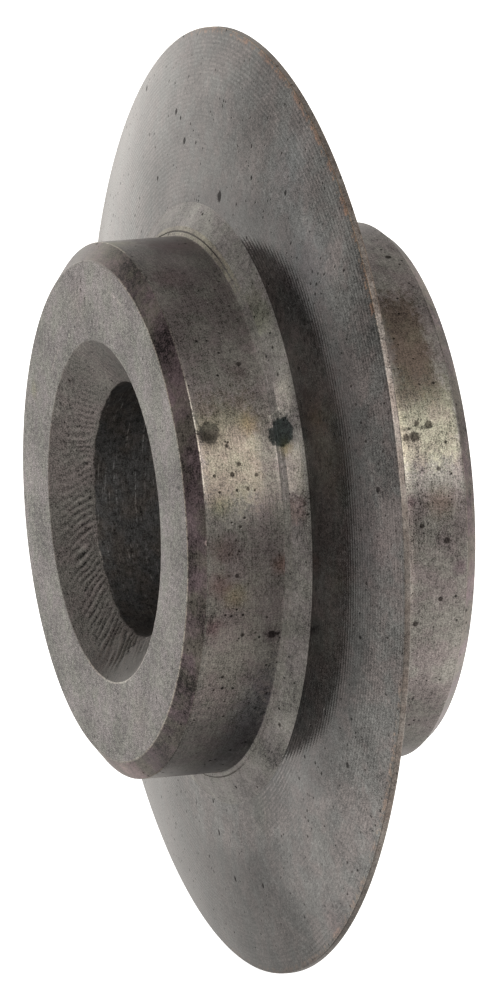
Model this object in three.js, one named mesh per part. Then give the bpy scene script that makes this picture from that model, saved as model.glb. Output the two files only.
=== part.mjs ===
// A cutter wheel for a tube or pipe cutter, turned in one piece from a bar of tool steel.
//
// Units are millimetres. The wheel's axis is Y and the origin is the middle of the wheel.
// +Z is up when the wheel stands on its cutting edge, as it does on the pin of its tool.
//
// From the rim inwards the wheel has:
//   - a thin disc whose two flanks meet in a narrow land, the cutting edge
//   - a short collar cone at the root of each flank
//   - a plain hub on each side, which keeps the disc square between the tool's cheeks
//   - a bore right through, countersunk at both ends so that the pin finds it

import * as THREE from "three";

// Driving dimensions.
const WHEEL_DIAMETER = 19;
const WHEEL_WIDTH = 6;
const HUB_DIAMETER = 10.76;
const BORE_DIAMETER = 5.1;
const COUNTERSINK_DIAMETER = 6.86;
const COUNTERSINK_DEPTH = 0.66;
const EDGE_LAND = 0.13; // width of the land left on the cutting edge
const ROOT_DIAMETER = 12.04; // where the disc's flank meets the collar cone
const ROOT_THICKNESS = 1.5;
const COLLAR_LENGTH = 0.3; // how far the collar cone reaches along the hub

// The corner break on each hub's outer edge: how much it takes off the end face, and off the hub.
const MINUS_Y_CHAMFER = { radial: 0.36, axial: 0.3 };
const PLUS_Y_CHAMFER = { radial: 0.2, axial: 0.25 };

const SEGMENTS_AROUND = 96;

// One half of the section from the bore to the cutting edge, as [radius, distance from mid-plane].
function halfSection(chamfer) {
  const hubRadius = HUB_DIAMETER / 2;
  const endFace = WHEEL_WIDTH / 2;
  const rootDistance = ROOT_THICKNESS / 2;
  return [
    [BORE_DIAMETER / 2, endFace - COUNTERSINK_DEPTH],
    [COUNTERSINK_DIAMETER / 2, endFace],
    [hubRadius - chamfer.radial, endFace],
    [hubRadius, endFace - chamfer.axial],
    [hubRadius, rootDistance + COLLAR_LENGTH],
    [ROOT_DIAMETER / 2, rootDistance],
    [WHEEL_DIAMETER / 2, EDGE_LAND / 2],
  ];
}

// The closed section of the wheel: out along the -Y half, back along the +Y half, down the bore.
function wheelSection() {
  const outward = halfSection(MINUS_Y_CHAMFER).map(
    ([radius, distance]) => new THREE.Vector2(radius, -distance),
  );
  const inward = halfSection(PLUS_Y_CHAMFER)
    .reverse()
    .map(([radius, distance]) => new THREE.Vector2(radius, distance));
  return [...outward, ...inward, outward[0].clone()];
}

function hardenedSteel() {
  return new THREE.MeshStandardMaterial({
    color: 0x6d6a68,
    roughness: 0.42,
    metalness: 1,
  });
}

function cutterWheel() {
  const geometry = new THREE.LatheGeometry(wheelSection(), SEGMENTS_AROUND);
  const mesh = new THREE.Mesh(geometry, hardenedSteel());
  mesh.name = "cutter_wheel";
  return mesh;
}

const wheel = new THREE.Group();
wheel.add(cutterWheel());

export default wheel;
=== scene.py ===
"""Looks for the cutter wheel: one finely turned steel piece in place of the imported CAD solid.

The frame is the CAD's: metres, the wheel's axis along Y, its middle at the origin, +Z up. The wheel's
own sizes are in millimetres, and MM turns them into metres. Angles round it run from +X towards +Z.
"""

import math
from collections import namedtuple

import bpy
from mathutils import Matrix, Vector, noise


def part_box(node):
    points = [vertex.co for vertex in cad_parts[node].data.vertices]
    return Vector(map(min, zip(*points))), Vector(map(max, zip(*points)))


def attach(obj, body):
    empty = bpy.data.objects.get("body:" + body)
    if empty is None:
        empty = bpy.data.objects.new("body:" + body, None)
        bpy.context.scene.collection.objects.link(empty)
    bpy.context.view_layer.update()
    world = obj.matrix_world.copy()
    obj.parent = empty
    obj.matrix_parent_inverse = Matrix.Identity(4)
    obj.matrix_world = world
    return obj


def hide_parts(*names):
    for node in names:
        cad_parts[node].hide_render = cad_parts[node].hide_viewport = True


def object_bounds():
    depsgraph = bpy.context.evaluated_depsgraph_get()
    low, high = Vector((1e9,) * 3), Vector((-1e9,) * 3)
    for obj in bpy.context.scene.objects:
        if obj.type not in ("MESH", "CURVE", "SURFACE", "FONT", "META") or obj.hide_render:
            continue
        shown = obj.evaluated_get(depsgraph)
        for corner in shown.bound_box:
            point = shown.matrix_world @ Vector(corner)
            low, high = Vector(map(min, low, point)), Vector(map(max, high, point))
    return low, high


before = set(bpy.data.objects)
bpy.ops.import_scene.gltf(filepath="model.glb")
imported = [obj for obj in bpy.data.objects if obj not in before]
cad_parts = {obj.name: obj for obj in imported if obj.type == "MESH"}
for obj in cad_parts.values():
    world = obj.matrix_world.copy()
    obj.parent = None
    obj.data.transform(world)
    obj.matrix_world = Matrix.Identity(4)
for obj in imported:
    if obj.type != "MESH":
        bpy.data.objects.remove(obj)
cad_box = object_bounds()

NODE = "cutter_wheel"
MM = 0.001

# ---------------------------------------------------------------- sizes, in millimetres

WHEEL_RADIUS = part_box(NODE)[1].z / MM
HALF_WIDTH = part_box(NODE)[1].y / MM
HUB_RADIUS = 5.38
BORE_RADIUS = 2.55
COUNTERSINK_RADIUS = 3.43
COUNTERSINK_DEPTH = 0.66
COUNTERSINK_NORMAL = (-0.6, 0.8)  # straight out of its surface: outwards, and towards the end face
EDGE_LAND = 0.13
ROOT_RADIUS = 6.02
ROOT_DISTANCE = 0.75  # from the mid-plane to where the flank meets the collar
COLLAR_LENGTH = 0.3

Chamfer = namedtuple("Chamfer", "radial axial")
MINUS_Y_CHAMFER = Chamfer(0.36, 0.30)
PLUS_Y_CHAMFER = Chamfer(0.20, 0.25)

FEED_PITCH = 0.091  # one turn of the lathe moves the tool this far along the flank
FEED_DEPTH = 0.0008
FLANK_BULGE = 0.10  # the flank is this much fuller in its middle than a straight cone
CHATTER_RIDGES = 90  # round the countersink
CHATTER_DEPTH = 0.030
CHATTER_ANGLE = -130.0  # where they are strongest, in degrees
CHATTER_SLANT = 0.25  # how far round a ridge leans on its way out to the mouth, in radians
CHATTER_REACH = 0.8  # they end at this share of the way out to the mouth
TEAR_HEIGHT = 0.055  # how far the bore's edge is torn, and how long the tears are
TEAR_SIZE = 0.34
NICK_HEIGHT = 0.018  # the same for the finer nicks in it
NICK_SIZE = 0.10
TORN_WIDTH = 0.063
MOUTH_UNEVENNESS = 0.010
MOUTH_WIDTH = 0.045

# ---------------------------------------------------------------- the turned section

Ring = namedtuple("Ring", "radius distance zone at_corner")
Corner = namedtuple("Corner", "radius distance ease zone")
EASE_STEPS = 3


def half_outline(chamfer):
    """Corners from the middle of the bore out to the cutting edge, and the runs between them.

    Each corner is (radius, distance from the mid-plane, how far its easing reaches, the easing's zone),
    and each run is (zone, number of bands). At the collar's foot a fine groove lies between two lips,
    which the hub's turning left.
    """
    collar_foot = ROOT_DISTANCE + COLLAR_LENGTH
    corners = [
        Corner(BORE_RADIUS, 0.0, 0.0, "bore"),
        Corner(BORE_RADIUS, HALF_WIDTH - COUNTERSINK_DEPTH - 0.09, 0.01, "bore"),
        Corner(BORE_RADIUS, HALF_WIDTH - COUNTERSINK_DEPTH, 0.02, "countersink"),
        Corner(COUNTERSINK_RADIUS, HALF_WIDTH, 0.018, "edge"),
        Corner(HUB_RADIUS - chamfer.radial, HALF_WIDTH, 0.02, "edge"),
        Corner(HUB_RADIUS, HALF_WIDTH - chamfer.axial, 0.015, "edge"),
        Corner(HUB_RADIUS, collar_foot + 0.040, 0.010, "hub"),
        Corner(HUB_RADIUS + 0.075, collar_foot + 0.010, 0.008, "lip"),
        Corner(HUB_RADIUS + 0.092, collar_foot - 0.020, 0.006, "groove"),
        Corner(HUB_RADIUS + 0.112, collar_foot - 0.006, 0.006, "lip"),
        Corner(HUB_RADIUS + 0.180, collar_foot - 0.040, 0.020, "lip"),
        Corner(ROOT_RADIUS, ROOT_DISTANCE, 0.02, "collar"),
        Corner(WHEEL_RADIUS, EDGE_LAND / 2, 0.012, "edge"),
        Corner(WHEEL_RADIUS, 0.0, 0.0, "land"),
    ]
    flank_length = math.hypot(WHEEL_RADIUS - ROOT_RADIUS, ROOT_DISTANCE - EDGE_LAND / 2)
    runs = [
        ("bore", 3),
        ("bore", 1),
        ("countersink", 11),
        ("end_face", 3),
        ("chamfer", 2),
        ("hub", 16),
        ("lip", 1),
        ("groove", 1),
        ("groove", 1),
        ("lip", 1),
        ("collar", 4),
        ("flank", 2 * round(flank_length / FEED_PITCH)),
        ("land", 2),
    ]
    return corners, runs


def feed_phase():
    """The factor and the shift that turn a radius on the flank into the phase of its feed marks."""
    _, runs = half_outline(MINUS_Y_CHAMFER)
    bands = dict(runs)["flank"]
    factor = math.pi * bands / (WHEEL_RADIUS - ROOT_RADIUS)
    return factor, -factor * ROOT_RADIUS


def turned_rings(chamfer):
    """Rings of one half of the section, from the bore to the cutting edge, with eased corners."""
    corners, runs = half_outline(chamfer)
    points = [Vector((c.radius, c.distance)) for c in corners]

    def beside(here, there, reach):
        return points[here] + (points[there] - points[here]).normalized() * reach

    rings = []
    for i, (zone, bands) in enumerate(runs):
        start = beside(i, i + 1, corners[i].ease)
        end = beside(i + 1, i, corners[i + 1].ease)
        along = (end - start).normalized()
        outward = Vector((-along.y, along.x)) if zone == "flank" else Vector((0, 0))
        for step in range(bands + 1):
            point = start.lerp(end, step / bands)
            if 0 < step < bands:
                share = step / bands
                point += outward * FLANK_BULGE * 4 * share * (1 - share)
                point += outward * FEED_DEPTH * (0.5 if step % 2 else -0.5)
            rings.append(Ring(point.x, point.y, zone, False))
        if i + 1 < len(runs):
            after = beside(i + 1, i + 2, corners[i + 1].ease)
            for step in range(1, EASE_STEPS):
                t = step / EASE_STEPS
                point = (1 - t) ** 2 * end + 2 * t * (1 - t) * points[i + 1] + t**2 * after
                rings.append(Ring(point.x, point.y, corners[i + 1].zone, True))
    return rings


def whole_section():
    """All rings, out along the -Y half and back along the +Y half. Their distance is now their y."""
    minus = [ring._replace(distance=-ring.distance) for ring in turned_rings(MINUS_Y_CHAMFER)]
    plus = turned_rings(PLUS_Y_CHAMFER)
    return minus + plus[::-1][1:-1]


# ---------------------------------------------------------------- the mesh

ANGLE_STEP = 1.7
CHATTER_ANGLE_STEP = 1.1
CHATTER_SPREAD = 50.0
DENT_ANGLE = 27.0
DENT_ANGLE_STEP = 0.4
DENT_SPREAD = 4.0

# Shallow round marks on the hubs and the collar, as a hardness tester or a rack leaves. The angle is in
# degrees, and reach is the mark's own radius.
Dent = namedtuple("Dent", "angle y reach depth")
DENTS = [
    Dent(29.0, -2.437, 0.20, 0.020),
    Dent(27.4, -0.956, 0.24, 0.030),
    Dent(26.9, 1.640, 0.11, 0.020),
    Dent(24.3, 1.815, 0.15, 0.025),
    Dent(26.9, 2.085, 0.09, 0.020),
]


def turn_between(first, second):
    """The smaller turn between two angles, in degrees."""
    return abs((first - second + 180.0) % 360.0 - 180.0)


def segment_angles():
    """Angles round the wheel in radians, closer together at the chatter and at the round marks."""
    angles = []
    angle = DENT_ANGLE - 180.0
    while angle < DENT_ANGLE + 180.0 - ANGLE_STEP / 2:
        angles.append(math.radians(angle))
        if turn_between(angle, DENT_ANGLE) < DENT_SPREAD:
            angle += DENT_ANGLE_STEP
        elif turn_between(angle, CHATTER_ANGLE) < CHATTER_SPREAD:
            angle += CHATTER_ANGLE_STEP
        else:
            angle += ANGLE_STEP
    return angles


def halved(angles):
    """The same angles with one more between each pair."""
    fine = []
    for i, angle in enumerate(angles):
        after = angles[(i + 1) % len(angles)] + (2 * math.pi if i + 1 == len(angles) else 0)
        fine += [angle, (angle + after) / 2]
    return fine


def rough(point, size):
    """Smooth random value from about -1 to 1 that changes over a distance of size."""
    return noise.noise(point / size)


def nearness(radius, y, edge_radius, edge_distance, reach):
    """1 at an edge that runs round both ends of the wheel, and about 0 at twice the reach from it."""
    apart = math.hypot(radius - edge_radius, abs(y) - edge_distance)
    return math.exp(-((apart / reach) ** 2))


def chatter(radius, y, angle):
    """How high the tool's chatter stands on the countersink: wavy ridges that fade towards the mouth."""
    way_out = (radius - BORE_RADIUS) / (COUNTERSINK_RADIUS - BORE_RADIUS)
    point = Vector((radius * math.cos(angle), y, radius * math.sin(angle)))
    patchy = 0.75 + 0.9 * rough(point + Vector((7, 0, 0)), 0.35)
    strength = 0.25 + 0.75 * max(0.0, math.cos(angle - math.radians(CHATTER_ANGLE)))
    fade = min(1.0, 8 * way_out) * max(0.0, 1 - (way_out / CHATTER_REACH) ** 3)
    uneven = 30.0 * math.sin(angle - math.radians(160)) + 4.0 * rough(point, 0.40)
    ridges = math.sin(CHATTER_RIDGES * (angle - CHATTER_SLANT * way_out) + uneven)
    return CHATTER_DEPTH * fade * max(0.0, min(1.0, patchy)) * strength * ridges


def relief(radius, y, zone, angle):
    """How far a point is moved, as (outwards, along y), and how high it stands on the chatter."""
    side = -1 if y < 0 else 1
    point = Vector((radius * math.cos(angle), y, radius * math.sin(angle)))
    out, along, ridge = 0.0, 0.0, 0.0
    if zone == "countersink":
        ridge = chatter(radius, y, angle)
        lift = ridge + 0.004 * rough(point, 0.07)
        out = COUNTERSINK_NORMAL[0] * lift
        along = COUNTERSINK_NORMAL[1] * side * lift
    bore_edge = nearness(radius, y, BORE_RADIUS, HALF_WIDTH - COUNTERSINK_DEPTH, TORN_WIDTH)
    tears = TEAR_HEIGHT * rough(point, TEAR_SIZE)
    nicks = NICK_HEIGHT * rough(point + Vector((3, 3, 3)), NICK_SIZE)
    ragged = tears + nicks
    out += 0.2 * bore_edge * ragged
    along += side * bore_edge * ragged
    mouth = nearness(radius, y, COUNTERSINK_RADIUS, HALF_WIDTH, MOUTH_WIDTH)
    out += mouth * MOUTH_UNEVENNESS * rough(point, 0.13)
    for dent in DENTS:
        turn = angle - math.radians(dent.angle)
        turn = math.atan2(math.sin(turn), math.cos(turn))
        if abs(turn) < 0.2 and zone in ("hub", "lip", "groove", "collar", "edge"):
            apart = math.hypot(turn * radius, y - dent.y) / dent.reach
            out -= dent.depth * max(0.0, 1 - apart**2) ** 2
    return out, along, ridge


def place(ring, angle):
    """A ring's point at an angle, as (position, height on the chatter)."""
    out, along, ridge = relief(ring.radius, ring.distance, ring.zone, angle)
    r = (ring.radius + out) * MM
    return (r * math.cos(angle), (ring.distance + along) * MM, r * math.sin(angle)), ridge


def wheel_mesh():
    """The closed mesh, its faces' zones, the sharp edges of the feed marks, and its vertices' ridges.

    The faces look outwards. The bore and the countersinks have twice as many points round them as the
    rest.
    """
    section = whole_section()
    coarse = segment_angles()
    fine = halved(coarse)
    placed, starts, counts = [], [], []
    for ring in section:
        angles = fine if ring.radius < COUNTERSINK_RADIUS + 0.005 else coarse
        starts.append(len(placed))
        counts.append(len(angles))
        placed += [place(ring, angle) for angle in angles]

    faces, zones, sharp = [], [], set()
    for i, ring in enumerate(section):
        j = (i + 1) % len(section)
        zone = section[j].zone if section[j].at_corner else ring.zone
        a, b, na, nb = starts[i], starts[j], counts[i], counts[j]
        segments = min(na, nb)
        for k in range(segments):
            if na == nb:
                face = [a + k, b + k, b + (k + 1) % nb, a + (k + 1) % na]
            elif na < nb:
                face = [a + k, b + 2 * k, b + 2 * k + 1, b + (2 * k + 2) % nb, a + (k + 1) % na]
            else:
                face = [a + 2 * k, b + k, b + (k + 1) % nb, a + (2 * k + 2) % na, a + 2 * k + 1]
            faces.append(face)
            zones.append(zone)
        if ring.zone == "flank":
            sharp.update((a + k, a + (k + 1) % na) for k in range(na))
    vertices, ridges = zip(*placed)
    return vertices, faces, zones, sharp, ridges


# ---------------------------------------------------------------- shader nodes


class Graph:
    """Adds shader nodes to a tree with short calls. Node returns the new node, the others its output."""

    def __init__(self, tree):
        self.tree = tree

    def node(self, kind, inputs=None, **settings):
        made = self.tree.nodes.new(kind)
        for key, value in settings.items():
            setattr(made, key, value)
        for key, value in (inputs or {}).items():
            self.feed(made.inputs[key], value)
        return made

    def feed(self, socket, value):
        if isinstance(value, bpy.types.NodeSocket):
            self.tree.links.new(value, socket)
        elif value is not None:
            socket.default_value = value

    def math(self, operation, *values):
        made = self.node("ShaderNodeMath", operation=operation)
        for socket, value in zip(made.inputs, values):
            self.feed(socket, value)
        return made.outputs[0]

    def fade(self, value, low, high):
        """0 at low and 1 at high, smoothly. Low may be the larger one."""
        made = self.node("ShaderNodeMapRange", interpolation_type="SMOOTHSTEP")
        self.feed(made.inputs["Value"], value)
        made.inputs["From Min"].default_value = low
        made.inputs["From Max"].default_value = high
        return made.outputs[0]

    def mix(self, share, first, second, blend="MIX"):
        made = self.node("ShaderNodeMix", data_type="RGBA", blend_type=blend)
        self.feed(made.inputs[0], share)
        self.feed(made.inputs[6], first)
        self.feed(made.inputs[7], second)
        return made.outputs[2]

    def scaled(self, colour, factor):
        made = self.node("ShaderNodeVectorMath", operation="SCALE")
        self.feed(made.inputs[0], colour)
        self.feed(made.inputs["Scale"], factor)
        return made.outputs[0]

    def moved(self, vector, step):
        """A vector with the same step added to all three of its parts."""
        made = self.node("ShaderNodeVectorMath", operation="ADD")
        self.feed(made.inputs[0], vector)
        made.inputs[1].default_value = (step, step, step)
        return made.outputs[0]

    def stretched(self, vector, across, along):
        """A Turned vector, scaled apart across the tool's marks and along them."""
        made = self.node("ShaderNodeVectorMath", operation="MULTIPLY")
        self.feed(made.inputs[0], vector)
        made.inputs[1].default_value = (across, along, along)
        return made.outputs[0]

    def dots(self, vector, scale, size, rarity):
        """Round dots of random size, one to a cell. Size is the largest, in cells; few come near it."""
        cells = self.node("ShaderNodeTexVoronoi", {"Vector": vector, "Scale": scale})
        chance = self.node("ShaderNodeSeparateColor", {0: cells.outputs["Color"]}).outputs[0]
        reach = self.math("MULTIPLY", self.math("POWER", chance, rarity), size)
        inside = self.math("SUBTRACT", reach, cells.outputs["Distance"])
        return self.math("MINIMUM", self.math("MAXIMUM", self.math("MULTIPLY", inside, 9.0), 0.0), 1.0)

    def noise(self, vector, scale, detail=2.0, roughness=0.5):
        made = self.node("ShaderNodeTexNoise")
        self.feed(made.inputs["Vector"], vector)
        made.inputs["Scale"].default_value = scale
        made.inputs["Detail"].default_value = detail
        made.inputs["Roughness"].default_value = roughness
        return made.outputs[0]


def wheel_coordinates():
    """A node group: where a point is on the wheel, in millimetres and degrees.

    Turned is a vector for marks that run round the wheel: across the marks in millimetres, then the
    cosine and sine of the angle, so that nothing jumps where the angle starts again.
    """
    group = bpy.data.node_groups.new("wheel_coordinates", "ShaderNodeTree")
    for name in ("Position", "Turned"):
        group.interface.new_socket(name, in_out="OUTPUT", socket_type="NodeSocketVector")
    for name in ("Radius", "Angle", "Axial"):
        group.interface.new_socket(name, in_out="OUTPUT", socket_type="NodeSocketFloat")
    g = Graph(group)
    position = g.scaled(g.node("ShaderNodeTexCoord").outputs["Object"], 1 / MM)
    x, y, z = g.node("ShaderNodeSeparateXYZ", {0: position}).outputs
    radius = g.math("SQRT", g.math("ADD", g.math("MULTIPLY", x, x), g.math("MULTIPLY", z, z)))
    angle = g.math("DEGREES", g.math("ARCTAN2", z, x))
    across = g.math("MULTIPLY_ADD", y, 1.3, radius)
    turned = g.node(
        "ShaderNodeCombineXYZ", {0: across, 1: g.math("DIVIDE", x, radius), 2: g.math("DIVIDE", z, radius)}
    )
    out = g.node("NodeGroupOutput")
    for socket, value in zip(out.inputs, (position, turned.outputs[0], radius, angle, y)):
        g.feed(socket, value)
    return group


def surface_marks():
    """A node group with the marks that all the steel shares.

    The first five swing about 0, mostly between -1 and 1: Grain and Coarse are the fine and the wider
    speckle, Lines are the tool's fine dashes, Cloud is slow staining, and Hue is which way its colour leans.
    The others are 0 to 1: Pits are small dark corroded holes, Glints are bright specks, and Scratches are
    thin and light.
    """
    group = bpy.data.node_groups.new("surface_marks", "ShaderNodeTree")
    names = ("Grain", "Coarse", "Lines", "Cloud", "Hue", "Pits", "Glints", "Scratches")
    for name in names:
        group.interface.new_socket(name, in_out="OUTPUT", socket_type="NodeSocketFloat")
    g = Graph(group)
    where = g.node("ShaderNodeGroup", node_tree=COORDINATES).outputs
    position = where["Position"]

    def swing(noise_value):
        return g.math("MULTIPLY_ADD", noise_value, 4.0, -2.0)

    grain = swing(g.noise(position, 36.0, 1.0, 0.8))
    coarse = swing(g.noise(position, 9.0, 2.0, 0.6))
    long_lines = g.noise(g.stretched(where["Turned"], 19.0, 9.0), 1.0, 1.0, 0.6)
    short_lines = g.noise(g.stretched(where["Turned"], 25.0, 45.0), 1.0, 1.0, 0.6)
    lines = swing(g.math("MULTIPLY", g.math("ADD", long_lines, short_lines), 0.5))
    cloud = swing(g.noise(position, 0.9, 3.0, 0.55))
    hue = swing(g.noise(g.moved(position, 40.0), 1.7, 3.0, 0.6))
    pits = g.math("MAXIMUM", g.dots(position, 3.1, 0.18, 9.0), g.dots(position, 8.5, 0.34, 4.0))
    glints = g.dots(g.moved(position, 20.0), 9.0, 0.17, 8.0)
    ridge = g.math("ABSOLUTE", g.math("SUBTRACT", g.noise(position, 0.8, 1.0), 0.5))
    here_and_there = g.fade(g.noise(position, 2.2, 1.0), 0.56, 0.62)
    scratches = g.math("MULTIPLY", g.fade(ridge, 0.0035, 0.0012), here_and_there)
    out = g.node("NodeGroupOutput")
    for socket, value in zip(out.inputs, (grain, coarse, lines, cloud, hue, pits, glints, scratches)):
        g.feed(socket, value)
    return group


COORDINATES = wheel_coordinates()
MARKS = surface_marks()

# How a stretch of the steel looks. Colour and tint are what it mirrors face on, clean and stained.
# Turned is how far the tool's marks scatter light across themselves. Grain, coarse, lines and clouds are
# shares that those marks take of its brightness, and pits is how dark the pits are.
Finish = namedtuple("Finish", "colour tint roughness turned grain coarse lines clouds pits")

FINISHES = {
    "bore": Finish((0.091, 0.091, 0.092), (0.099, 0.090, 0.084), 0.52, 0.6, 0.50, 0.45, 0.50, 0.20, 0.5),
    "countersink": Finish((0.124, 0.118, 0.11), (0.127, 0.113, 0.109), 0.42, 0.3, 0.8, 0.36, 0.0, 0.16, 0.7),
    "end_face": Finish((0.183, 0.182, 0.167), (0.186, 0.171, 0.172), 0.42, 0.0, 1.35, 0.75, 0.15, 0.42, 0.5),
    "chamfer": Finish((0.096, 0.087, 0.077), (0.104, 0.080, 0.087), 0.36, 0.5, 0.60, 0.45, 0.34, 0.75, 0.6),
    "hub": Finish((0.170, 0.163, 0.150), (0.160, 0.141, 0.138), 0.34, 0.7, 0.60, 0.30, 0.34, 0.36, 0.8),
    "lip": Finish((0.240, 0.235, 0.216), (0.240, 0.222, 0.215), 0.50, 0.9, 0.50, 0.34, 0.20, 0.40, 0.5),
    "groove": Finish((0.230, 0.225, 0.207), (0.230, 0.212, 0.205), 0.50, 0.9, 0.50, 0.34, 0.20, 0.40, 0.5),
    "collar": Finish((0.245, 0.240, 0.224), (0.240, 0.224, 0.220), 0.50, 0.95, 0.52, 0.36, 0.30, 0.55, 0.8),
    "flank": Finish((0.090, 0.091, 0.089), (0.098, 0.087, 0.085), 0.13, 0.45, 0.90, 0.46, 0.24, 0.48, 0.6),
    "land": Finish((0.19, 0.173, 0.160), (0.16, 0.136, 0.122), 0.33, 0.5, 0.55, 0.34, 0.10, 0.30, 0.6),
    "edge": Finish((0.16, 0.152, 0.140), (0.14, 0.124, 0.114), 0.33, 0.5, 0.60, 0.50, 0.10, 0.20, 0.5),
}
BUMP_OF_GRAIN = 0.0002  # in millimetres
BUMP_OF_PITS = 0.004


class Coat:
    """What is laid on one stretch of the steel, layer by layer: its colour, brightness and height."""

    def __init__(self, zone):
        self.finish = finish = FINISHES[zone]
        self.material = bpy.data.materials.new(zone + "_steel")
        self.material.use_nodes = True
        self.material.node_tree.nodes.clear()
        self.g = g = Graph(self.material.node_tree)
        self.where = g.node("ShaderNodeGroup", node_tree=COORDINATES).outputs
        self.marks = marks = g.node("ShaderNodeGroup", node_tree=MARKS).outputs
        self.colour = g.mix(g.fade(marks["Hue"], -0.5, 0.5), (*finish.colour, 1), (*finish.tint, 1))
        self.brightness = 1.0
        self.metallic = 0.85
        self.shine = self.share_left(marks["Pits"], finish.pits)  # of what it mirrors at a glancing angle
        self.brighten(marks["Grain"], finish.grain)
        self.brighten(marks["Coarse"], finish.coarse)
        self.brighten(marks["Lines"], finish.lines)
        self.brighten(marks["Cloud"], finish.clouds)
        self.height = g.math("MULTIPLY", marks["Grain"], BUMP_OF_GRAIN)
        self.sink(marks["Pits"], BUMP_OF_PITS)

    def share_left(self, where, taken):
        """What is left of 1 when a share is taken off it, as far as where is 1."""
        return self.g.math("MULTIPLY_ADD", where, -taken, 1.0)

    def brighten(self, mark, share):
        """Adds a share of a mark to the brightness."""
        if share:
            self.brightness = self.g.math("MULTIPLY_ADD", mark, share, self.brightness)

    def tint(self, where, tint):
        """Multiplies the colour by a tint, as far as where is 1."""
        self.colour = self.g.mix(where, self.colour, (*tint, 1), "MULTIPLY")

    def dull(self, where, taken):
        """Takes a share off what the steel mirrors at a glancing angle, as far as where is 1."""
        self.shine = self.g.math("MULTIPLY", self.shine, self.share_left(where, taken))

    def sink(self, where, depth):
        """Lowers the surface by a depth in millimetres, as far as where is 1."""
        self.height = self.g.math("MULTIPLY_ADD", where, -depth, self.height)

    def spot(self, centre, reach, core=0.0):
        """1 within the core, a share of the reach, and 0 beyond reach of a point, with an uneven edge."""
        g = self.g
        apart = g.node("ShaderNodeVectorMath", {0: self.where["Position"], 1: centre}, operation="DISTANCE")
        uneven = g.math("MULTIPLY_ADD", self.marks["Coarse"], 0.15 * reach, apart.outputs["Value"])
        return g.fade(uneven, reach, core * reach)

    def band(self, coordinate, low, high, soft):
        """1 where a coordinate lies between low and high, with an uneven edge that is soft wide."""
        g = self.g
        value = g.math("MULTIPLY_ADD", self.marks["Coarse"], 0.8 * soft, self.where[coordinate])
        past_low = g.fade(value, low - soft, low + soft)
        before_high = g.fade(value, high + soft, high - soft)
        return g.math("MULTIPLY", past_low, before_high)

    def patch(self, angles, along, coordinate="Axial", soft=0.08):
        """1 between two angles and between two places along the wheel's axis, or along its radius.

        Its two ends round the wheel are soft over 30 times as many degrees as soft says in millimetres.
        """
        round_part = self.band("Angle", *angles, 30 * soft)
        return self.g.math("MULTIPLY", round_part, self.band(coordinate, *along, soft))

    def finished(self):
        """The material, with the pits, specks and scratches laid over everything else."""
        g, marks = self.g, self.marks
        brightness = g.math("MAXIMUM", self.brightness, 0.1)
        brightness = g.math("MULTIPLY", brightness, self.share_left(marks["Pits"], self.finish.pits))
        brightness = g.math("MULTIPLY_ADD", marks["Scratches"], 0.5, brightness)
        brightness = g.math("MULTIPLY_ADD", marks["Glints"], 1.8, brightness)
        bump = g.node("ShaderNodeBump", {"Height": self.height, "Strength": 1.0, "Distance": MM})
        surface = g.node(
            "ShaderNodeBsdfPrincipled",
            {
                "Metallic": self.metallic,
                "Specular Tint": self.shine,
                "Base Color": g.scaled(self.colour, brightness),
                "Roughness": g.math("MULTIPLY_ADD", marks["Coarse"], 0.04, self.finish.roughness),
                "Normal": bump.outputs[0],
                # The tool's marks run round the wheel, so a turned surface scatters light across them.
                "Tangent": g.node("ShaderNodeTangent", direction_type="RADIAL", axis="Y").outputs[0],
                "Anisotropic": self.finish.turned,
                "Anisotropic Rotation": 0.25,
            },
        )
        g.node("ShaderNodeOutputMaterial", {"Surface": surface.outputs[0]})
        return self.material


# ---------------------------------------------------------------- stains, pits, wear, and painted light and shade

# A tinted spot is a soft round place whose colour is tinted, a pit is a small dark hole, and a patch is a
# tinted stretch between two angles and two places along. Some tinted spots and patches are painted light
# and shade, and are marked so where they are listed. Along is Y on the hubs, collars and chamfers, and the
# radius on the flanks, end faces and countersinks. Tinted spots and pits given by a radius are on the -Y
# side.
# Angles are in degrees, and the rest in millimetres.
TintedSpot = namedtuple("TintedSpot", "angle along reach tint")
Pit = namedtuple("Pit", "angle along reach")
Patch = namedtuple("Patch", "angles along soft tint")
PIT_TINT = (0.26, 0.25, 0.25)
PIT_DEPTH = 0.003
PIT_DULLNESS = 0.6


def at(angle, y, radius):
    a = math.radians(angle)
    return (radius * math.cos(a), y, radius * math.sin(a))


def on_hub(angle, y):
    return at(angle, y, HUB_RADIUS)


def on_collar(angle, y):
    """A place on the -Y collar, which rises about twice as far as it runs."""
    return at(angle, y, HUB_RADIUS + (y + ROOT_DISTANCE + COLLAR_LENGTH) * 2)


def on_end_face(angle, radius):
    return at(angle, -HALF_WIDTH, radius)


def on_flank(angle, radius):
    share = (radius - ROOT_RADIUS) / (WHEEL_RADIUS - ROOT_RADIUS)
    straight = ROOT_DISTANCE + share * (EDGE_LAND / 2 - ROOT_DISTANCE)
    return at(angle, -straight - FLANK_BULGE * 4 * share * (1 - share), radius)


def lay_patches(coat, patches, coordinate="Axial", dulled=0.0):
    """Tints the patches, and takes a share off what they mirror at a glancing angle."""
    for patch in patches:
        inside = coat.patch(patch.angles, patch.along, coordinate, patch.soft)
        coat.tint(inside, patch.tint)
        if dulled:
            coat.dull(inside, dulled)


def lay_tinted_spots(coat, on_surface, stains):
    # Some of these are painted light, as marked where they are listed.
    for stain in stains:
        coat.tint(coat.spot(on_surface(stain.angle, stain.along), stain.reach), stain.tint)


def lay_pits(coat, on_surface, pits):
    for pit in pits:
        inside = coat.spot(on_surface(pit.angle, pit.along), pit.reach, core=0.5)
        coat.tint(inside, PIT_TINT)
        coat.dull(inside, PIT_DULLNESS)
        coat.sink(inside, PIT_DEPTH)


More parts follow.
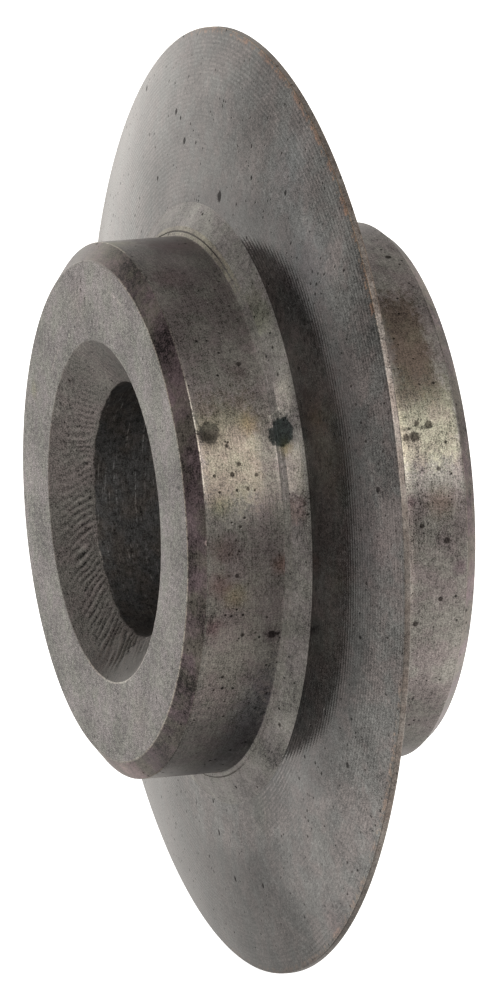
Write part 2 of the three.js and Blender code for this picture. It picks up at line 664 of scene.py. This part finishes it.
def lay_marks(coat):
    """The dark stains in the two largest round marks, and a lighter rim below the second."""
    first = on_hub(29.0, -2.437)
    second = at(27.4, -0.97, 5.56)
    coat.tint(coat.spot(first, 0.55, core=0.2), (0.76, 0.75, 0.73))
    coat.tint(coat.spot(first, 0.27, core=0.7), (0.32, 0.33, 0.33))
    coat.tint(coat.spot(at(24.4, -0.95, 5.58), 0.28), (1.05, 1.0, 0.66))
    coat.tint(coat.spot(second, 0.52, core=0.3), (0.78, 0.78, 0.78))
    coat.tint(coat.spot(second, 0.34, core=0.8), (0.22, 0.27, 0.28))


HUB_PATCHES = [
    Patch((14, 36), (-2.66, -1.45), 0.14, (1.05, 1.02, 0.88)),
    Patch((12, 34), (-1.45, -1.05), 0.14, (0.74, 0.73, 0.70)),
    Patch((-36, 0), (-2.66, -1.60), 0.20, (1.20, 1.18, 1.16)),
    Patch((-80, -28), (-1.75, -1.00), 0.30, (0.74, 0.77, 0.86)),
    Patch((-120, -73), (-2.75, -1.00), 0.06, (1.50, 1.22, 0.95)),
    Patch((19, 36), (1.40, 2.72), 0.10, (1.10, 1.12, 0.96)),
    Patch((35, 59), (1.70, 2.50), 0.16, (0.66, 0.59, 0.50)),
]
# Painted shade: the -Y hub darker and duller at its top and at its bottom.
HUB_SHADE_PATCHES = [
    Patch((-100, -62), (-2.20, -1.00), 0.30, (0.58, 0.55, 0.56)),
    Patch((84, 125), (-2.20, -1.00), 0.30, (0.50, 0.43, 0.44)),
]
HUB_STAINS = [
    TintedSpot(3.9, -2.39, 0.45, (0.90, 0.80, 0.78)),
    TintedSpot(-3.7, -2.45, 0.40, (0.86, 0.74, 0.72)),
    TintedSpot(-0.2, -1.16, 0.30, (1.05, 0.84, 0.76)),
    TintedSpot(-6.4, -2.12, 0.40, (1.12, 1.06, 0.84)),
    TintedSpot(13.3, -2.39, 0.35, (1.0, 1.03, 0.86)),
    TintedSpot(-9.4, -2.27, 0.30, (1.14, 1.12, 1.14)),
    TintedSpot(-13.1, -2.56, 0.35, (0.92, 0.74, 0.80)),
    TintedSpot(-15.9, -1.28, 0.30, (0.62, 0.54, 0.60)),
    TintedSpot(30.4, -1.60, 0.35, (1.08, 1.0, 0.80)),
    TintedSpot(42.0, -1.60, 0.35, (0.74, 0.72, 0.70)),
    TintedSpot(89.2, -1.56, 0.8, (0.82, 0.62, 0.68)),
    TintedSpot(71.6, -2.20, 0.6, (0.86, 0.74, 0.78)),
    TintedSpot(95.0, -2.55, 0.6, (1.1, 1.12, 0.85)),
    TintedSpot(10.2, 2.22, 0.5, (0.86, 0.78, 0.70)),
    TintedSpot(-3.8, 2.61, 0.30, (0.74, 0.62, 0.72)),
    TintedSpot(11.1, 1.62, 0.22, (0.66, 0.56, 0.62)),
]
HUB_PITS = [
    Pit(-15.9, -1.28, 0.12),
    Pit(-15.4, -1.90, 0.06),
    Pit(19.7, -2.07, 0.06),
    Pit(19.2, -1.57, 0.05),
    Pit(16.4, -1.78, 0.05),
    Pit(21.8, -1.91, 0.06),
    Pit(8.6, -2.00, 0.05),
    Pit(-1.8, -2.09, 0.06),
    Pit(-25.7, -2.20, 0.05),
    Pit(44.2, -1.52, 0.07),
    Pit(24.6, 1.83, 0.13),
    Pit(24.5, 1.63, 0.10),
    Pit(27.1, 2.14, 0.11),
    Pit(27.5, 1.90, 0.07),
    Pit(17.4, 2.23, 0.06),
    Pit(5.6, 1.80, 0.07),
    Pit(2.1, 2.31, 0.09),
    Pit(-16.2, 1.73, 0.07),
    Pit(-10.8, 2.22, 0.06),
    Pit(72.7, 2.44, 0.08),
]


def paint_hub(coat):
    lay_patches(coat, HUB_PATCHES)
    lay_patches(coat, HUB_SHADE_PATCHES, dulled=0.22)
    coat.tint(coat.band("Axial", 1.0, 2.9, 0.1), (1.25, 1.25, 1.25))
    coat.tint(coat.band("Axial", 1.0, 1.62, 0.1), (1.76, 1.72, 1.67))
    lay_tinted_spots(coat, on_hub, HUB_STAINS)
    lay_pits(coat, on_hub, HUB_PITS)
    lay_marks(coat)


COLLAR_PATCHES = [
    Patch((31.5, 38), (-1.10, -0.80), 0.05, (1.72, 1.68, 1.64)),
    Patch((15, 24), (-1.10, -0.80), 0.05, (1.68, 1.62, 1.54)),
    Patch((50, 60), (-1.10, -0.80), 0.08, (1.00, 1.03, 0.92)),
    Patch((9, 14), (-1.10, -0.80), 0.05, (1.05, 0.90, 0.90)),
]
COLLAR_PITS = [
    Pit(0.5, -0.96, 0.05),
    Pit(-4.6, -0.97, 0.06),
    Pit(-11.7, -0.97, 0.05),
    Pit(-22.9, -0.96, 0.05),
    Pit(-37.4, -0.88, 0.08),
    Pit(52.3, -0.98, 0.06),
    Pit(45.0, -0.86, 0.06),
    Pit(39.0, -0.88, 0.06),
    Pit(42.9, -0.99, 0.04),
]


def paint_collar(coat):
    lay_patches(coat, COLLAR_PATCHES)
    lay_pits(coat, on_collar, COLLAR_PITS)
    lay_marks(coat)


def paint_lip(coat):
    coat.tint(coat.band("Angle", 66, 122, 8), (1.15, 1.12, 0.98))
    lay_marks(coat)


def paint_groove(coat):
    # Painted shade: the groove dark at the top and at the bottom.
    coat.tint(coat.band("Angle", 74, 122, 6), (0.30, 0.28, 0.26))
    coat.tint(coat.band("Angle", -112, -62, 6), (0.34, 0.31, 0.28))
    lay_marks(coat)


# Painted light and shade near the flank's root: lighter at the bottom, darker at the top.
FLANK_LIGHT_AND_SHADE = [
    Patch((-100, -38), (5.9, 7.1), 0.25, (1.45, 1.44, 1.44)),
    Patch((92, 135), (5.9, 7.9), 0.30, (0.86, 0.86, 0.86)),
]
FLANK_PITS = [
    Pit(110.8, 7.93, 0.09),
    Pit(108.5, 7.76, 0.06),
    Pit(105.8, 7.27, 0.09),
    Pit(100.1, 7.22, 0.05),
    Pit(85.9, 6.38, 0.14),
    Pit(77.1, 7.84, 0.06),
    Pit(74.2, 7.33, 0.06),
    Pit(62.7, 7.98, 0.07),
    Pit(120.0, 6.85, 0.07),
    Pit(126.9, 9.16, 0.08),
    Pit(-88.7, 6.11, 0.07),
    Pit(-87.4, 6.74, 0.08),
    Pit(-83.2, 7.62, 0.08),
    Pit(-71.2, 7.73, 0.07),
    Pit(-27.2, 8.12, 0.08),
    Pit(14.1, 8.78, 0.08),
]
FLANK_STAINS_AND_HIGHLIGHT = [
    TintedSpot(50.0, 7.6, 1.6, (0.94, 0.99, 1.06)),
    TintedSpot(64.0, 8.3, 1.5, (0.95, 1.0, 1.05)),
    TintedSpot(109.0, 9.14, 0.7, (1.04, 0.90, 0.92)),
    TintedSpot(28.0, 6.7, 0.8, (1.06, 0.96, 0.94)),
    TintedSpot(5.0, 8.4, 1.2, (1.05, 0.97, 0.99)),
    TintedSpot(-44.0, 7.9, 0.9, (0.92, 0.92, 0.90)),
    TintedSpot(-63.0, 6.3, 0.8, (1.02, 1.05, 0.93)),
    TintedSpot(-52.0, 9.3, 0.9, (1.04, 0.93, 0.95)),
    # Painted highlight: the flank lighter near the cutting edge, up on the +X side.
    TintedSpot(27.0, 9.1, 0.9, (1.36, 1.34, 1.34)),
]


def paint_crescent_shade(coat):
    """Painted shade on the flank: a dark crescent round the hub, widest on the +X side, standing in for the
    hub's dark reflection.
    """
    g = coat.g
    middle = at(14.0, -0.5, 2.2)
    apart = g.node("ShaderNodeVectorMath", {0: coat.where["Position"], 1: middle}, operation="DISTANCE")
    inside = g.fade(apart.outputs["Value"], 6.7, 6.0)
    outside = g.fade(apart.outputs["Value"], 5.0, 5.5)
    coat.tint(g.math("MULTIPLY", inside, outside), (0.63, 0.63, 0.64))


def paint_rust(coat):
    """Patches of rust on the flank, close to the cutting edge."""
    g = coat.g
    rust = g.fade(g.math("ADD", coat.marks["Hue"], coat.marks["Coarse"]), -0.4, 0.5)
    for angles, tint in (((34, 112), (1.40, 0.92, 0.64)), ((-95, -10), (1.20, 0.98, 0.80))):
        rim = coat.patch(angles, (9.40, 9.52), "Radius", 0.05)
        coat.tint(g.math("MULTIPLY", rim, rust), tint)


def paint_feed_mark_light_and_shade(coat):
    """Painted highlights and shade: light and dark lines that follow the flank's feed marks, broken up, and
    clearer in three places.
    """
    g = coat.g
    turns = g.math("COSINE", g.math("MULTIPLY_ADD", coat.where["Radius"], *feed_phase()))
    broken = g.math("MULTIPLY", turns, g.fade(coat.marks["Coarse"], -0.8, 0.6))
    coat.brighten(broken, 0.15)
    for angles, radii, share in (
        ((60, 78), (6.0, 6.5), 0.45),
        ((-64, -40), (6.0, 6.5), 0.45),
        ((30, 108), (8.5, 9.5), 0.22),
    ):
        clearer = g.math("MULTIPLY", broken, coat.patch(angles, radii, "Radius", 0.12))
        coat.brighten(clearer, share)


def paint_flank(coat):
    coat.metallic = 0.70
    lay_patches(coat, FLANK_LIGHT_AND_SHADE, "Radius")
    lay_tinted_spots(coat, on_flank, FLANK_STAINS_AND_HIGHLIGHT)
    paint_crescent_shade(coat)
    paint_rust(coat)
    lay_pits(coat, on_flank, FLANK_PITS)
    paint_feed_mark_light_and_shade(coat)


END_FACE_SCRATCHES = [
    Patch((135, 146), (3.86, 3.92), 0.02, (1.35, 1.33, 1.28)),
    Patch((76, 87), (4.54, 4.60), 0.02, (1.35, 1.33, 1.30)),
]
END_FACE_STAINS_AND_LIGHT = [
    TintedSpot(112.0, 4.3, 0.8, (1.03, 0.96, 0.98)),
    TintedSpot(60.0, 4.3, 0.8, (0.97, 1.0, 0.98)),
    TintedSpot(160.0, 4.57, 0.3, (1.06, 1.04, 0.86)),
    TintedSpot(88.0, 5.2, 0.6, (0.92, 0.90, 0.84)),
    TintedSpot(-60.0, 4.3, 0.9, (1.02, 0.98, 0.98)),
    # Painted light: the end face lighter on its far side, towards -X.
    TintedSpot(-168.0, 4.4, 2.8, (1.16, 1.16, 1.16)),
]


def paint_end_face(coat):
    lay_tinted_spots(coat, on_end_face, END_FACE_STAINS_AND_LIGHT)
    coat.tint(coat.spot(on_end_face(124.0, 3.81), 0.12, core=0.6), (0.5, 0.5, 0.5))
    coat.tint(coat.spot(on_end_face(124.0, 3.81), 0.06, core=0.4), (5.0, 5.0, 5.0))
    lay_patches(coat, END_FACE_SCRATCHES, "Radius")


CHAMFER_PATCHES = [
    Patch((-110, -68), (-3.1, -2.6), 0.2, (2.40, 2.27, 2.10)),
    Patch((14, 60), (-3.1, -2.6), 0.2, (0.84, 0.82, 0.82)),
    Patch((53, 76), (2.7, 3.1), 0.2, (1.90, 1.95, 1.75)),
    Patch((-8, 40), (2.7, 3.1), 0.2, (0.80, 0.78, 0.76)),
]


def paint_chamfer(coat):
    coat.tint(coat.band("Angle", 74, 106, 6), (1.1, 1.1, 1.0))
    lay_patches(coat, CHAMFER_PATCHES)
    # Painted glints at two spots on the -Y hub's edge.
    coat.tint(coat.spot(on_hub(5.8, -2.70), 0.08, core=0.5), (4.0, 4.0, 3.8))
    coat.tint(coat.spot(on_hub(-31.0, -2.74), 0.06, core=0.5), (3.0, 3.0, 2.9))


def paint_bore(coat):
    g = coat.g
    streaks = g.fade(g.noise(g.stretched(coat.where["Turned"], 17.0, 2.5), 1.0, 2.0, 0.6), 0.60, 0.72)
    coat.tint(g.math("MULTIPLY", streaks, g.fade(coat.marks["Coarse"], -0.6, 0.3)), (2.6, 2.6, 2.6))


def paint_countersink(coat):
    # Painted highlight on the chatter's ridges and painted shade in its valleys.
    ridge = coat.g.node("ShaderNodeAttribute", attribute_name="ridge").outputs["Fac"]
    coat.brighten(ridge, 0.9)
    coat.tint(coat.band("Angle", -104, -60, 9), (0.75, 0.73, 0.71))
    coat.tint(coat.patch((-104, -60), (3.05, 3.60), "Radius", 0.15), (0.68, 0.67, 0.66))
    coat.tint(coat.band("Angle", 92, 128, 9), (1.35, 1.36, 1.34))


def paint_land(coat):
    coat.tint(coat.band("Angle", 28, 80, 5), (1.35, 1.35, 1.35))
    for angles in ((94, 150), (-140, -66)):
        # Darker and duller at the top and at the bottom, towards -X.
        darkened = coat.band("Angle", *angles, 8)
        coat.tint(darkened, (0.74, 0.74, 0.74))
        coat.dull(darkened, 0.25)


def paint_edge(coat):
    """The corners: painted highlights along the -Y hub's edge and the -Y end face's rim, broken into pieces
    like chips, and rusty on the cutting edge.
    """
    lay_marks(coat)
    # Painted highlights on the -Y hub's edge and on the -Y end face's rim, broken into pieces.
    in_pieces = coat.g.fade(coat.marks["Coarse"], -1.0, 0.2)
    hub_edge_highlight = coat.g.math("MULTIPLY", coat.patch((17, 42), (-2.76, -2.62), soft=0.1), in_pieces)
    coat.tint(hub_edge_highlight, (3.0, 3.0, 2.9))
    end_face_rim_highlight = coat.patch((-110, 80), (-3.1, -2.95), soft=0.04)
    coat.tint(coat.g.math("MULTIPLY", end_face_rim_highlight, in_pieces), (1.7, 1.68, 1.6))
    coat.tint(coat.patch((-100, 75), (3.35, 3.50), "Radius", 0.02), (1.1, 1.12, 1.15))
    # Painted highlight along the top of the -Y hub's edge.
    coat.tint(coat.patch((86, 118), (-2.8, -2.6), soft=0.05), (2.2, 2.2, 2.0))
    coat.tint(coat.patch((-100, -60), (-2.8, -2.6), soft=0.05), (1.1, 0.95, 0.75))
    coat.tint(coat.patch((35, 118), (-0.12, 0.12)), (1.5, 1.2, 0.95))


PAINTS = {
    "hub": paint_hub,
    "collar": paint_collar,
    "flank": paint_flank,
    "end_face": paint_end_face,
    "chamfer": paint_chamfer,
    "bore": paint_bore,
    "countersink": paint_countersink,
    "lip": paint_lip,
    "groove": paint_groove,
    "land": paint_land,
    "edge": paint_edge,
}


def steel_materials():
    """The material of each stretch of the wheel."""
    materials = {}
    for zone in FINISHES:
        coat = Coat(zone)
        if zone in PAINTS:
            PAINTS[zone](coat)
        materials[zone] = coat.finished()
    return materials


# ---------------------------------------------------------------- pieces


def make_wheel():
    vertices, faces, zones, sharp, ridges = wheel_mesh()
    mesh = bpy.data.meshes.new("turned_wheel")
    mesh.from_pydata(vertices, [], faces)
    mesh.update()
    mesh.shade_smooth()
    heights = mesh.attributes.new("ridge", "FLOAT", "POINT")
    heights.data.foreach_set("value", [ridge / CHATTER_DEPTH for ridge in ridges])
    materials = steel_materials()
    order = list(materials)
    for name in order:
        mesh.materials.append(materials[name])
    mesh.polygons.foreach_set("material_index", [order.index(zone) for zone in zones])
    for edge in mesh.edges:
        a, b = edge.vertices
        edge.use_edge_sharp = (a, b) in sharp or (b, a) in sharp
    wheel = bpy.data.objects.new("turned_wheel", mesh)
    bpy.context.scene.collection.objects.link(wheel)
    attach(wheel, "root")
    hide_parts(NODE)
    return wheel


# ---------------------------------------------------------------- stage, light and camera

CAMERA_AZIMUTH = math.radians(70.48)
CAMERA_ELEVATION = math.radians(13.31)
CAMERA_DISTANCE = 0.400
CAMERA_LENS = 719.75
CAMERA_SIDESTEP = 0.0844 * MM
CAMERA_RISE = 0.0043 * MM


def make_camera():
    a, e = CAMERA_AZIMUTH, CAMERA_ELEVATION
    back = Vector((math.sin(a) * math.cos(e), -math.cos(a) * math.cos(e), math.sin(e)))
    right = Vector((math.cos(a), math.sin(a), 0))
    up = back.cross(right)
    data = bpy.data.cameras.new("camera")
    data.lens = CAMERA_LENS
    data.clip_start = 0.01
    data.clip_end = 10.0
    camera = bpy.data.objects.new("camera", data)
    camera.location = back * CAMERA_DISTANCE + right * CAMERA_SIDESTEP + up * CAMERA_RISE
    camera.rotation_mode = "QUATERNION"
    camera.rotation_quaternion = (-back).to_track_quat("-Z", "Y")
    bpy.context.scene.collection.objects.link(camera)
    bpy.context.scene.camera = camera


FLOOR_HALF_SIZE = 1.5


def make_floor():
    half = FLOOR_HALF_SIZE
    z = cad_box[0].z
    mesh = bpy.data.meshes.new("floor")
    corners = [(-half, -half, z), (half, -half, z), (half, half, z), (-half, half, z)]
    mesh.from_pydata(corners, [], [(0, 1, 2, 3)])
    material = bpy.data.materials.new("pale_floor")
    material.use_nodes = True
    surface = material.node_tree.nodes["Principled BSDF"]
    surface.inputs["Base Color"].default_value = (0.9, 0.9, 0.9, 1)
    surface.inputs["Roughness"].default_value = 0.9
    surface.inputs["Specular IOR Level"].default_value = 0.0
    surface.inputs["Emission Color"].default_value = (1, 1, 1, 1)
    surface.inputs["Emission Strength"].default_value = 0.95
    mesh.materials.append(material)
    floor = bpy.data.objects.new("floor", mesh)
    floor.visible_glossy = False
    floor.visible_diffuse = False
    bpy.context.scene.collection.objects.link(floor)


# The studio as the steel mirrors it: a grey room with soft bright and dark areas in it. Each area is
# (azimuth from +X towards +Y, elevation, angle of its full part, angle where it ends, strength).
StudioArea = namedtuple("StudioArea", "azimuth elevation inner outer strength")
ROOM_LIGHT = 0.58
STUDIO = [
    StudioArea(4, 30, 13, 23, 3.6),  # softbox over the camera's right shoulder
    StudioArea(-30, 55, 10, 36, 0.8),  # ceiling lit by it, on the left
    StudioArea(88, -28, 20, 66, 1.15),  # white card on the right
    StudioArea(190, 1, 10, 24, 0.65),  # white sweep behind the wheel
    StudioArea(178, -9, 8, 16, 0.12),  # its brightest part
    StudioArea(219, -17, 8, 18, 0.85),  # where it turns to the left
    StudioArea(221, -12, 4, 11, -0.75),  # a dark gap in it
    StudioArea(220, 3, 5, 12, 0.45),  # above the gap
    StudioArea(250, -32, 18, 38, 0.45),  # white table on the left
    StudioArea(180, 88, 22, 70, -0.2),  # dark ceiling
    StudioArea(150, -68, 12, 34, -0.58),  # the wheel's own shade on the table
]
SOFTBOX_COLOUR = (1.04, 1.00, 0.95, 1)


def direction_of(azimuth, elevation):
    a, e = math.radians(azimuth), math.radians(elevation)
    return Vector((math.cos(a) * math.cos(e), math.sin(a) * math.cos(e), math.sin(e)))


def make_world():
    """The studio's light on the wheel. The camera itself sees plain white past the floor."""
    world = bpy.data.worlds.new("studio")
    world.use_nodes = True
    world.node_tree.nodes.clear()
    g = Graph(world.node_tree)
    direction = g.node("ShaderNodeTexCoord").outputs["Generated"]
    light = ROOM_LIGHT
    for area in STUDIO:
        towards = direction_of(area.azimuth, area.elevation)
        closeness = g.node("ShaderNodeVectorMath", {0: direction, 1: towards}, operation="DOT_PRODUCT")
        inner, outer = math.cos(math.radians(area.inner)), math.cos(math.radians(area.outer))
        share = g.fade(closeness.outputs["Value"], outer, inner)
        light = g.math("MULTIPLY_ADD", share, area.strength, light)
    strength = g.math("MAXIMUM", light, 0.0)
    room = g.node("ShaderNodeBackground", {"Color": SOFTBOX_COLOUR, "Strength": strength})
    white = g.node("ShaderNodeBackground", {"Color": (1, 1, 1, 1), "Strength": 1.0})
    seen = g.node("ShaderNodeLightPath").outputs["Is Camera Ray"]
    either = g.node("ShaderNodeMixShader", {0: seen, 1: room.outputs[0], 2: white.outputs[0]})
    out = g.node("ShaderNodeOutputWorld")
    g.feed(out.inputs["Surface"], either.outputs[0])
    bpy.context.scene.world = world


make_camera()
make_world()
make_floor()
bpy.context.scene.view_settings.view_transform = "Standard"
make_wheel()
